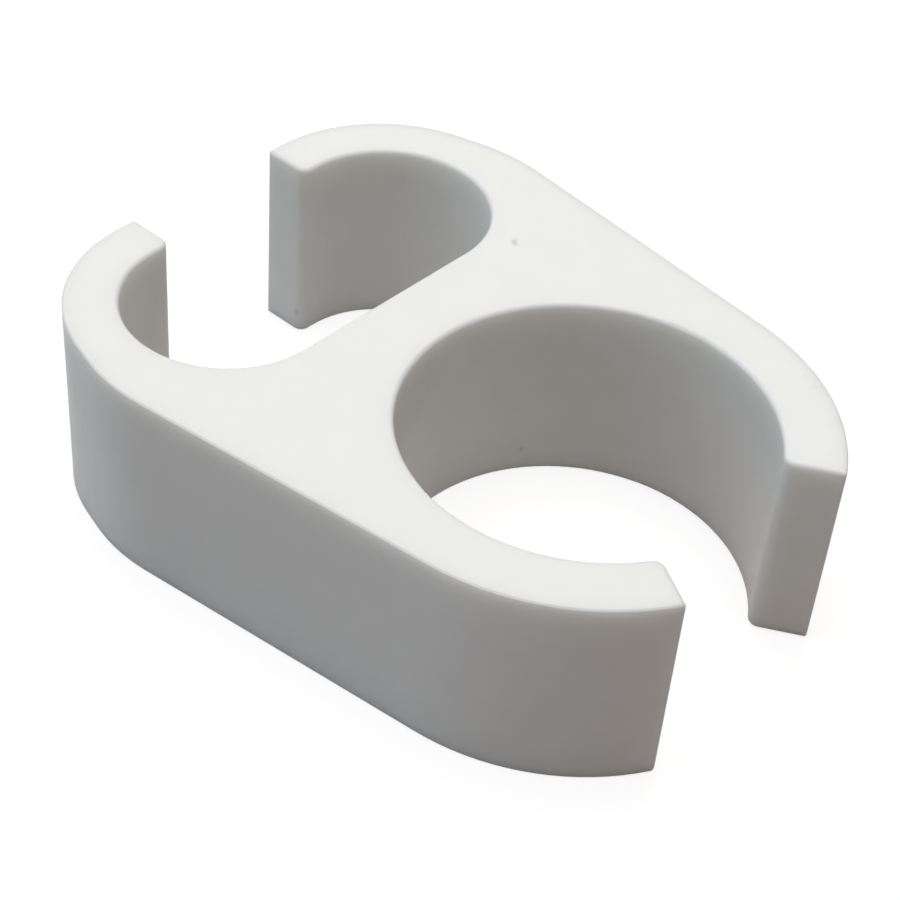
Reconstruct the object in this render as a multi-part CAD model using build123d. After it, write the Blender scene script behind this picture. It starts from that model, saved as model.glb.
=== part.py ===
from build123d import *
import math
import os

# Double-ended pipe clip, moulded in one piece: a round C-shaped jaw and an open oval pocket, back to back.
# The origin is on the round jaw's axis at the bottom face. X points out of the round jaw's mouth,
# Y points across the clip and Z points up, along the pipe. Sizes are in millimetres.

# Whole clip
clip_height = 15.0

# Round jaw: its wall thins from the sides of the bore to the mouth
bore_diameter = 25.0
bore_mouth = 12.5
jaw_side_wall = 4.4
jaw_mouth_wall = 4.0

# Web between the two pockets, where it is thinnest
web_thickness = 5.4

# Oval pocket: its length is across the clip, its depth along the clip
pocket_length = 30.4
pocket_depth = 14.6
pocket_mouth = 13.0
pocket_wall = 3.75

# Shoulder: beside the web the outer side follows a wider arc than round the pocket's end.
# Its centre is set against the centre of the pocket's end, and its radius against the outer radius there.
shoulder_forward = 2.5
shoulder_inward = 2.35
shoulder_ease = 2.95

# Rounding of the tips' inner corners, which guide the pipe in
tip_round = 0.8

# Rims at the top and bottom faces: rounded along the pockets and the tips, and finely bevelled outside,
# where the bevel also runs down the tips' outer corners
inner_rim_round = 0.3
outer_rim_bevel = 0.1

# Places that follow from the sizes above
bore_radius = bore_diameter / 2
pocket_radius = pocket_depth / 2
pocket_arc_y = pocket_length / 2 - pocket_radius
pocket_centre_x = -bore_radius - web_thickness - pocket_radius
rear_radius = pocket_radius + pocket_wall
shoulder_radius = rear_radius + shoulder_ease
jaw_radius = bore_radius + jaw_side_wall
mouth_angle = math.asin(bore_mouth / bore_diameter)

# Circles that shape the outer side on +Y, from the rear to the front: centre X, centre Y and radius
rear_circle = (pocket_centre_x, pocket_arc_y, rear_radius)
shoulder_circle = (pocket_centre_x + shoulder_forward, pocket_arc_y - shoulder_inward, shoulder_radius)
jaw_circle = (jaw_mouth_wall - jaw_side_wall, 0, jaw_radius)


def tangent_angle(first, second):
    """Direction in degrees, seen from the centres, where one line touches both circles on their +Y side."""
    x1, y1, r1 = first
    x2, y2, r2 = second
    lean = math.acos((r1 - r2) / math.hypot(x2 - x1, y2 - y1))
    return math.degrees(math.atan2(y2 - y1, x2 - x1) + lean)


def arc_between(circle, start, end):
    """Arc of one circle between two directions in degrees."""
    x, y, radius = circle
    return CenterArc((x, y), radius, start, end - start)


def outer_face():
    """The filled outline of the clip: three arcs a side, joined by their tangents."""
    rear_turn = tangent_angle(rear_circle, shoulder_circle)
    front_turn = tangent_angle(shoulder_circle, jaw_circle)
    with BuildSketch() as outline:
        with BuildLine():
            rear = arc_between(rear_circle, 180, rear_turn)
            shoulder = arc_between(shoulder_circle, rear_turn, front_turn)
            jaw = arc_between(jaw_circle, front_turn, 0)
            back = rear @ 0
            Line((back.X, 0), back)
            Line(rear @ 1, shoulder @ 0)
            Line(shoulder @ 1, jaw @ 0)
            mirror(about=Plane.XZ)
        make_face()
    return outline.sketch


def eased(cut):
    """A cut whose inward corners are rounded: they are the inner corners of the tips beside its mouth."""
    wider = offset(cut, tip_round, kind=Kind.INTERSECTION)
    return offset(wider, -tip_round, kind=Kind.ARC)


def bore_cut():
    """The bore and its mouth, a wedge whose sides point at the bore's axis."""
    reach = 2 * jaw_radius
    wedge_x = reach * math.cos(mouth_angle)
    wedge_y = reach * math.sin(mouth_angle)
    with BuildSketch() as cut:
        Circle(bore_radius)
        with BuildLine():
            Polyline((0, 0), (wedge_x, wedge_y), (wedge_x, -wedge_y), close=True)
        make_face()
    return eased(cut.sketch)


def pocket_cut():
    """The oval pocket and its mouth, which runs straight out past the rear."""
    with BuildSketch() as cut:
        with Locations((pocket_centre_x, 0)):
            SlotOverall(pocket_length, pocket_depth, rotation=90)
            Rectangle(2 * rear_radius, pocket_mouth, align=(Align.MAX, Align.CENTER))
    return eased(cut.sketch)


def rims(solid, outline, outside):
    """The edges of the top and bottom faces that lie on the outline, or else those that don't."""
    chosen = []
    for edge in solid.faces().filter_by(Axis.Z).edges():
        middle = edge @ 0.5
        on_outline = outline.wire().distance_to(Vertex(middle.X, middle.Y, 0)) < 1e-4
        if on_outline == outside:
            chosen.append(edge)
    return chosen


# Apart from its rims, the clip's section is the same at every height
outline = outer_face()
profile = outline - bore_cut() - pocket_cut()
clip = extrude(profile, clip_height)
clip = fillet(rims(clip, outline, False), inner_rim_round)
clip = chamfer(rims(clip, outline, True), outer_rim_bevel)

os.makedirs("parts", exist_ok=True)
export_step(clip, "parts/pipe_clip.step")
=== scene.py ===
import math

import bpy
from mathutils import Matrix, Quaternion, Vector

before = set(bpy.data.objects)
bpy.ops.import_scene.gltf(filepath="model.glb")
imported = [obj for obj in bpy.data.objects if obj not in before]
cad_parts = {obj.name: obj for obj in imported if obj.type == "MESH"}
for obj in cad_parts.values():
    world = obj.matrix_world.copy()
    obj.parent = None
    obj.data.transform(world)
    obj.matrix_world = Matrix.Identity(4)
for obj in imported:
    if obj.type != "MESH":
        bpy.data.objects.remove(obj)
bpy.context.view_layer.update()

# A white pipe clip lying on a pale floor, seen from above its round jaw's near tip.
# Places and sizes are in the part's own frame, in metres unless a comment says otherwise.
MILLIMETRE = 0.001

# Camera, at the photograph's viewing angle: it looks at the target from an azimuth, counted from +X,
# and an elevation, and is turned a little about its own axis
camera_target = Vector((-15.25, 4.88, 0.0)) * MILLIMETRE
camera_distance = 155.1 * MILLIMETRE
camera_azimuth = math.radians(-50.74)
camera_elevation = math.radians(41.25)
camera_roll = math.radians(4.95)
camera_lens = 84.6
camera_near = 10.0 * MILLIMETRE

# Plastic: white, and light spreads a little way inside it. Noise patterns give it a faint mottling,
# an uneven sheen and a fine grain. A range holds the noise values over which such an effect runs.
plastic_colour = (0.84, 0.845, 0.825, 1.0)
plastic_ior = 1.49
mottle_colour = (0.828, 0.833, 0.81, 1.0)
mottle_size = 3.0 * MILLIMETRE
mottle_detail = 3.0
mottle_range = (0.35, 0.7)
roughness_range = (0.46, 0.54)
sheen_size = 1.2 * MILLIMETRE
sheen_range = (0.3, 0.7)
grain_size = 0.12 * MILLIMETRE
grain_depth = 0.004 * MILLIMETRE
fine_detail = 2.0
scatter_share = 0.75
scatter_length = 2.0 * MILLIMETRE
scatter_tint = (1.0, 0.97, 0.9)

# Specks and nicks in the plastic, each with its place and radius in millimetres and its share of the
# speck colour. A speck has that share in its core, a part of the radius, and its edge is ragged.
speck_colour = (0.42, 0.42, 0.40, 1.0)
speck_core = 0.2
speck_ragged = 0.12 * MILLIMETRE
speck_ragged_size = 2 * speck_ragged
specks = [
    # A dark nick on the top face, between the bore and the far end of the oval pocket
    ((-16.42, 11.42, 15.0), 0.30, 0.50),
    ((-16.23, 11.27, 15.0), 0.30, 0.50),
    ((-16.46, 11.71, 15.0), 0.30, 0.20),
    ((-16.02, 11.21, 15.0), 0.32, 0.22),
    # A speck low on the bore's wall, and one low on the oval pocket's far tip
    ((-10.38, 6.97, 2.0), 0.30, 0.42),
    ((-33.07, 6.53, 1.77), 0.35, 0.40),
    # Faint nicks on the top face, along the far outer rim of the round jaw
    ((6.8, 14.35, 15.0), 0.25, 0.10),
    ((7.48, 14.68, 15.0), 0.25, 0.10),
    ((8.3, 14.24, 15.0), 0.25, 0.10),
    ((7.92, 13.84, 15.0), 0.30, 0.08),
]

# Light: soft lamps far away, each with its azimuth from +X, its elevation, its colour and its level,
# where a surface that faces a lamp of level 1 shows its own colour
lamp_spread = math.radians(50)
lamps = {
    "overhead": (0, 90, (1.0, 1.0, 0.99), 0.645),
    "rear": (135, 45, (1.0, 0.94, 0.89), 0.23),
    "left": (225, 45, (0.91, 0.94, 1.0), 0.155),
    "left_low": (225, 5, (0.58, 0.82, 1.0), 0.2),
    "front_low": (0, 15, (1.0, 0.9, 0.82), 0.087),
}
white = (1.0, 1.0, 1.0, 1.0)

# Floor, a hair below the clip: seen directly, its glow and its lit colour add up to white outside the shadow
floor_size = 4.0
floor_drop = 0.02 * MILLIMETRE
floor_colour = (0.30, 0.26, 0.255, 1.0)
floor_glow = (0.78, 0.8, 0.803, 1.0)

# Numbers of a mix node's sockets for colours, whose names it also gives to its other sockets
mix_share = 0
mix_first = 6
mix_second = 7
mix_result = 2


def new_tree(owner):
    """The emptied node tree of a material or world."""
    owner.use_nodes = True
    owner.node_tree.nodes.clear()
    return owner.node_tree


def highest(tree, first, second):
    """The higher of two values."""
    node = tree.nodes.new("ShaderNodeMath")
    node.operation = "MAXIMUM"
    tree.links.new(first, node.inputs[0])
    tree.links.new(second, node.inputs[1])
    return node.outputs["Value"]


def seen_directly(tree):
    """A value that is 1 for rays from the camera, a reflection or a clear surface, and 0 for others."""
    path = tree.nodes.new("ShaderNodeLightPath")
    seen = path.outputs["Is Camera Ray"]
    for name in ("Is Glossy Ray", "Is Transmission Ray"):
        seen = highest(tree, seen, path.outputs[name])
    return seen


def noise(tree, place, size, detail):
    """A noise pattern whose features are about this size."""
    texture = tree.nodes.new("ShaderNodeTexNoise")
    texture.inputs["Scale"].default_value = 1 / size
    texture.inputs["Detail"].default_value = detail
    tree.links.new(place, texture.inputs["Vector"])
    return texture


def ranged(tree, value, source, target):
    """A value whose source range is spread smoothly over the target range."""
    node = tree.nodes.new("ShaderNodeMapRange")
    node.interpolation_type = "SMOOTHSTEP"
    node.inputs["From Min"].default_value = source[0]
    node.inputs["From Max"].default_value = source[1]
    node.inputs["To Min"].default_value = target[0]
    node.inputs["To Max"].default_value = target[1]
    tree.links.new(value, node.inputs["Value"])
    return node.outputs["Result"]


def mixed(tree, share, first, second):
    """A colour between two, where each is a fixed colour or a socket."""
    node = tree.nodes.new("ShaderNodeMix")
    node.data_type = "RGBA"
    tree.links.new(share, node.inputs[mix_share])
    for number, colour in ((mix_first, first), (mix_second, second)):
        if isinstance(colour, tuple):
            node.inputs[number].default_value = colour
        else:
            tree.links.new(colour, node.inputs[number])
    return node.outputs[mix_result]


def speck_share(tree, place):
    """The share of the speck colour: high inside the specks and 0 elsewhere."""
    ragged = tree.nodes.new("ShaderNodeVectorMath")
    ragged.operation = "MULTIPLY_ADD"
    ragged.inputs[1].default_value = (speck_ragged, speck_ragged, speck_ragged)
    wander = noise(tree, place, speck_ragged_size, fine_detail)
    tree.links.new(wander.outputs["Color"], ragged.inputs[0])
    tree.links.new(place, ragged.inputs[2])
    total = None
    for spot, radius, share in specks:
        distance = tree.nodes.new("ShaderNodeVectorMath")
        distance.operation = "DISTANCE"
        distance.inputs[1].default_value = [c * MILLIMETRE + speck_ragged / 2 for c in spot]
        tree.links.new(ragged.outputs["Vector"], distance.inputs[0])
        spread = (speck_core * radius * MILLIMETRE, radius * MILLIMETRE)
        here = ranged(tree, distance.outputs["Value"], spread, (share, 0.0))
        total = here if total is None else highest(tree, total, here)
    return total


def plastic_material():
    """Satin white plastic, as moulded."""
    material = bpy.data.materials.new("moulded_white_plastic")
    tree = new_tree(material)
    place = tree.nodes.new("ShaderNodeTexCoord").outputs["Object"]
    mottle_noise = noise(tree, place, mottle_size, mottle_detail)
    mottle = ranged(tree, mottle_noise.outputs["Fac"], mottle_range, (0.0, 1.0))
    clean = mixed(tree, mottle, plastic_colour, mottle_colour)
    colour = mixed(tree, speck_share(tree, place), clean, speck_colour)
    sheen_noise = noise(tree, place, sheen_size, fine_detail)
    roughness = ranged(tree, sheen_noise.outputs["Fac"], sheen_range, roughness_range)
    grain_noise = noise(tree, place, grain_size, fine_detail)
    grain = tree.nodes.new("ShaderNodeBump")
    grain.inputs["Distance"].default_value = grain_depth
    tree.links.new(grain_noise.outputs["Fac"], grain.inputs["Height"])
    shader = tree.nodes.new("ShaderNodeBsdfPrincipled")
    tree.links.new(colour, shader.inputs["Base Color"])
    tree.links.new(roughness, shader.inputs["Roughness"])
    tree.links.new(grain.outputs["Normal"], shader.inputs["Normal"])
    shader.inputs["IOR"].default_value = plastic_ior
    shader.inputs["Subsurface Weight"].default_value = scatter_share
    shader.inputs["Subsurface Radius"].default_value = scatter_tint
    shader.inputs["Subsurface Scale"].default_value = scatter_length
    output = tree.nodes.new("ShaderNodeOutputMaterial")
    tree.links.new(shader.outputs["BSDF"], output.inputs["Surface"])
    return material


def floor_material():
    """A pale surface that shows white and keeps the clip's shadow."""
    material = bpy.data.materials.new("floor")
    tree = new_tree(material)
    matt = tree.nodes.new("ShaderNodeBsdfDiffuse")
    matt.inputs["Color"].default_value = floor_colour
    glow = tree.nodes.new("ShaderNodeEmission")
    glow.inputs["Color"].default_value = floor_glow
    tree.links.new(seen_directly(tree), glow.inputs["Strength"])
    both = tree.nodes.new("ShaderNodeAddShader")
    tree.links.new(matt.outputs["BSDF"], both.inputs[0])
    tree.links.new(glow.outputs["Emission"], both.inputs[1])
    output = tree.nodes.new("ShaderNodeOutputMaterial")
    tree.links.new(both.outputs["Shader"], output.inputs["Surface"])
    return material


def add_floor():
    """The plain floor under the clip."""
    half = floor_size / 2
    mesh = bpy.data.meshes.new("floor")
    corners = [(-half, -half, 0), (half, -half, 0), (half, half, 0), (-half, half, 0)]
    mesh.from_pydata(corners, [], [(0, 1, 2, 3)])
    mesh.materials.append(floor_material())
    floor = bpy.data.objects.new("floor", mesh)
    floor.location.z = -floor_drop
    bpy.context.scene.collection.objects.link(floor)


def towards(azimuth, elevation):
    """The direction with this azimuth from +X and this elevation."""
    level = math.cos(elevation)
    return Vector((level * math.cos(azimuth), level * math.sin(azimuth), math.sin(elevation)))


def add_lamps():
    """The lamps, each shining from its own direction."""
    for name, (azimuth, elevation, colour, level) in lamps.items():
        data = bpy.data.lights.new(name, "SUN")
        data.angle = lamp_spread
        data.color = colour
        data.energy = math.pi * level
        lamp = bpy.data.objects.new(name, data)
        lamp.rotation_mode = "QUATERNION"
        direction = towards(math.radians(azimuth), math.radians(elevation))
        lamp.rotation_quaternion = direction.to_track_quat("Z", "Y")
        bpy.context.scene.collection.objects.link(lamp)


def add_surroundings():
    """White surroundings, seen by the camera and in reflections, that cast no light on matt surfaces."""
    world = bpy.data.worlds.new("studio")
    tree = new_tree(world)
    background = tree.nodes.new("ShaderNodeBackground")
    background.inputs["Color"].default_value = white
    tree.links.new(seen_directly(tree), background.inputs["Strength"])
    output = tree.nodes.new("ShaderNodeOutputWorld")
    tree.links.new(background.outputs["Background"], output.inputs["Surface"])
    bpy.context.scene.world = world


def add_camera():
    """The camera at the photograph's viewing angle."""
    back = towards(camera_azimuth, camera_elevation)
    data = bpy.data.cameras.new("camera")
    data.lens = camera_lens
    data.clip_start = camera_near
    camera = bpy.data.objects.new("camera", data)
    camera.location = camera_target + camera_distance * back
    camera.rotation_mode = "QUATERNION"
    level_view = (-back).to_track_quat("-Z", "Y")
    camera.rotation_quaternion = level_view @ Quaternion((0, 0, 1), camera_roll)
    bpy.context.scene.collection.objects.link(camera)
    bpy.context.scene.camera = camera


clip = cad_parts["pipe_clip"]
clip.material_slots[0].material = plastic_material()
add_floor()
add_lamps()
add_surroundings()
add_camera()
bpy.context.scene.view_settings.view_transform = "Standard"
